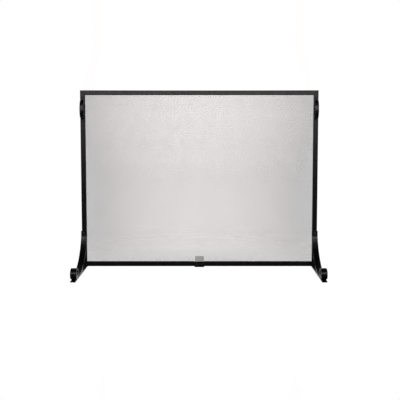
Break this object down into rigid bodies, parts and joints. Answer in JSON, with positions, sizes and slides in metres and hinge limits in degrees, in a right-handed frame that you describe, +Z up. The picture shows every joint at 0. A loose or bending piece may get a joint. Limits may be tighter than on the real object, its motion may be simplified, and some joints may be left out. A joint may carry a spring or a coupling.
{
  "type": "fireplace screen",
  "caption": "Free-standing black steel fireplace screen with woven mesh, arched lifting handles and swept strap feet that end in scrolls.",
  "frame": {"origin": "on the floor, under the middle of the screen, half way between toes and heels", "axes": "+X to the right seen from the room, +Y away from the room towards the fire, +Z up"},
  "size_m": [1.123, 0.33, 0.841],
  "materials": {
    "frame_paint": "satin black enamel on steel tube",
    "strap_paint": "satin black enamel on forged strap",
    "mesh_wire": "black woven wire",
    "fastener_paint": "black enamel on steel screws and rivets",
    "zinc_steel": "zinc-plated steel",
    "plate_metal": "brushed nickel-coloured plate"
  },
  "bodies": {
    "root": {"bottom_rail": "frame_paint", "bottom_strip": "frame_paint", "bottom_strip_screws": "fastener_paint", "brace_foot_rivets": "fastener_paint", "brace_post_rivets": "fastener_paint", "centre_clip": "frame_paint", "clip_screws": "fastener_paint", "foot_screws": "zinc_steel", "handle_rivets": "fastener_paint", "left_brace": "strap_paint", "left_foot_bar": "strap_paint", "left_handle": "strap_paint", "left_post": "frame_paint", "left_strip": "frame_paint", "left_strip_screws": "fastener_paint", "mesh_panel": "mesh_wire", "nameplate": "plate_metal", "nameplate_rivets": "plate_metal", "right_brace": "strap_paint", "right_foot_bar": "strap_paint", "right_handle": "strap_paint", "right_post": "frame_paint", "right_strip": "frame_paint", "right_strip_screws": "fastener_paint", "threaded_blocks": "zinc_steel", "top_rail": "frame_paint", "top_strip": "frame_paint", "top_strip_screws": "fastener_paint"}
  },
  "joints": []
}
